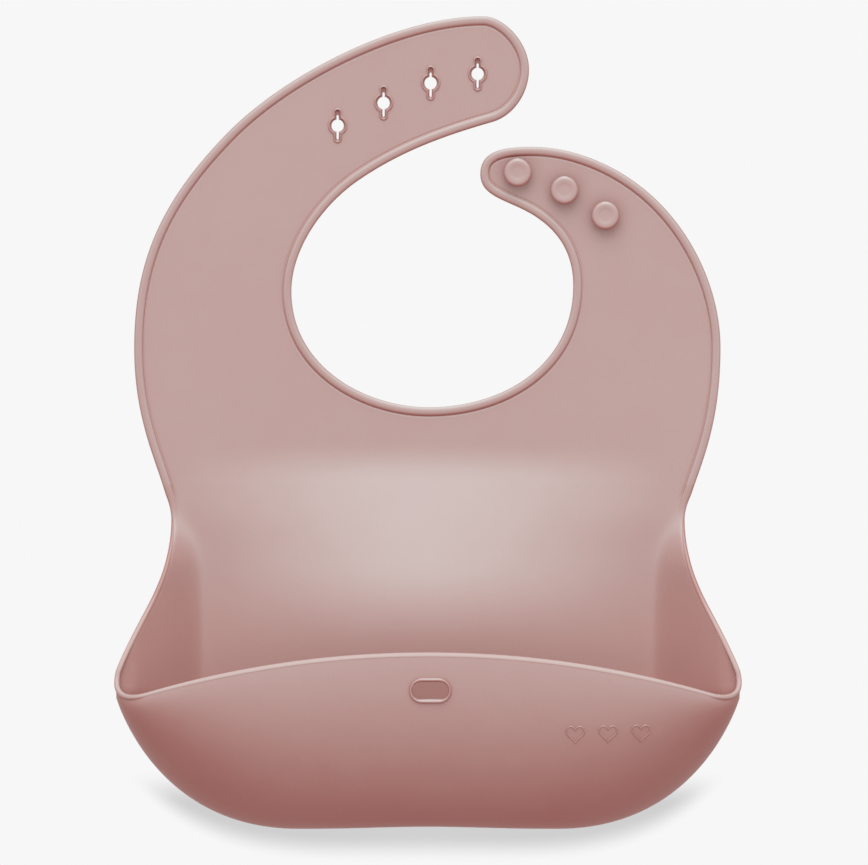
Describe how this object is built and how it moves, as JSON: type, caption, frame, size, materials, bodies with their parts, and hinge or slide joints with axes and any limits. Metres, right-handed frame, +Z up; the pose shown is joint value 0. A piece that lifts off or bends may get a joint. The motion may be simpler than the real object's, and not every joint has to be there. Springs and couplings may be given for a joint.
{
  "type": "silicone bib",
  "caption": "Soft moulded baby bib with a scoop front, a standing catcher pocket and two wrap-round neck straps that close with studs in keyholes.",
  "frame": {"origin": "on the flat back face of the chest panel, on the centre line, 11 mm below the lowest point of the neck opening", "axes": "+Z up along the centre line, +X to the right as seen from the front, -Y towards the front (food side); the flat back face lies in Y = 0"},
  "size_m": [0.2392, 0.059, 0.3129],
  "materials": {
    "silicone_sheet": "matte dusty-rose silicone, very fine moulded grain",
    "silicone_pocket": "matte dusty-rose silicone, smooth curved walls",
    "silicone_detail": "matte dusty-rose silicone, rounded rims, lips and studs"
  },
  "bodies": {
    "chest": {"chest_panel": "silicone_sheet"},
    "left_shoulder": {"left_shoulder_band": "silicone_sheet"},
    "left_middle": {"left_strap_middle": "silicone_sheet", "keyhole_lip_1": "silicone_detail", "keyhole_lip_2": "silicone_detail"},
    "left_tip": {"left_strap_tip": "silicone_sheet", "keyhole_lip_3": "silicone_detail", "keyhole_lip_4": "silicone_detail"},
    "right_shoulder": {"right_shoulder_band": "silicone_sheet", "stud_2": "silicone_detail", "stud_3": "silicone_detail"},
    "right_tip": {"right_strap_tip": "silicone_sheet", "stud_1": "silicone_detail"},
    "lower_bib": {"scoop_panel": "silicone_sheet", "gusset_left": "silicone_pocket", "gusset_right": "silicone_pocket", "side_rim_left": "silicone_detail", "side_rim_right": "silicone_detail", "pocket_base": "silicone_pocket", "pocket_belly": "silicone_pocket", "pocket_corner_left": "silicone_pocket", "pocket_corner_right": "silicone_pocket"},
    "pocket_front": {"pocket_front_wall": "silicone_pocket", "pocket_front_rim": "silicone_detail", "roll_slot_lip": "silicone_detail"}
  },
  "joints": [
    {"name": "left_shoulder_bend", "type": "hinge", "parent": "chest", "child": "left_shoulder", "pos_m": [-0.07776, 0, 0.06386], "axis": [-0.9945, 0, 0.1045], "range_deg": [0, 60], "stiffness_Nm_per_rad": 0.02},
    {"name": "left_strap_curl_1", "type": "hinge", "parent": "left_shoulder", "child": "left_middle", "pos_m": [-0.05477, 0, 0.11207], "axis": [-0.7071, 0, 0.7071], "range_deg": [0, 24], "stiffness_Nm_per_rad": 0.02},
    {"name": "left_strap_curl_2", "type": "hinge", "parent": "left_middle", "child": "left_tip", "pos_m": [-0.00933, 0, 0.13472], "axis": [-0.1392, 0, 0.9903], "range_deg": [0, 24], "stiffness_Nm_per_rad": 0.02},
    {"name": "right_shoulder_bend", "type": "hinge", "parent": "chest", "child": "right_shoulder", "pos_m": [0.08136, 0, 0.06386], "axis": [-0.9945, 0, -0.1045], "range_deg": [0, 60], "stiffness_Nm_per_rad": 0.02},
    {"name": "right_strap_curl", "type": "hinge", "parent": "right_shoulder", "child": "right_tip", "pos_m": [0.04348, 0, 0.09866], "axis": [-0.6947, 0, -0.7193], "range_deg": [0, 24], "stiffness_Nm_per_rad": 0.02},
    {"name": "chest_fold", "type": "hinge", "parent": "chest", "child": "lower_bib", "pos_m": [0, -0.0031, -0.0094], "axis": [-1, 0, 0], "range_deg": [0, 75], "stiffness_Nm_per_rad": 0.05},
    {"name": "pocket_flatten", "type": "hinge", "parent": "lower_bib", "child": "pocket_front", "pos_m": [0, -0.024, -0.128], "axis": [-1, 0, 0], "range_deg": [0, 25], "stiffness_Nm_per_rad": 0.06}
  ],
  "couplings": [
    {"joint": "left_strap_curl_1", "follows": "left_shoulder_bend", "ratio": 0.4},
    {"joint": "left_strap_curl_2", "follows": "left_shoulder_bend", "ratio": 0.4},
    {"joint": "right_strap_curl", "follows": "right_shoulder_bend", "ratio": 0.4}
  ]
}
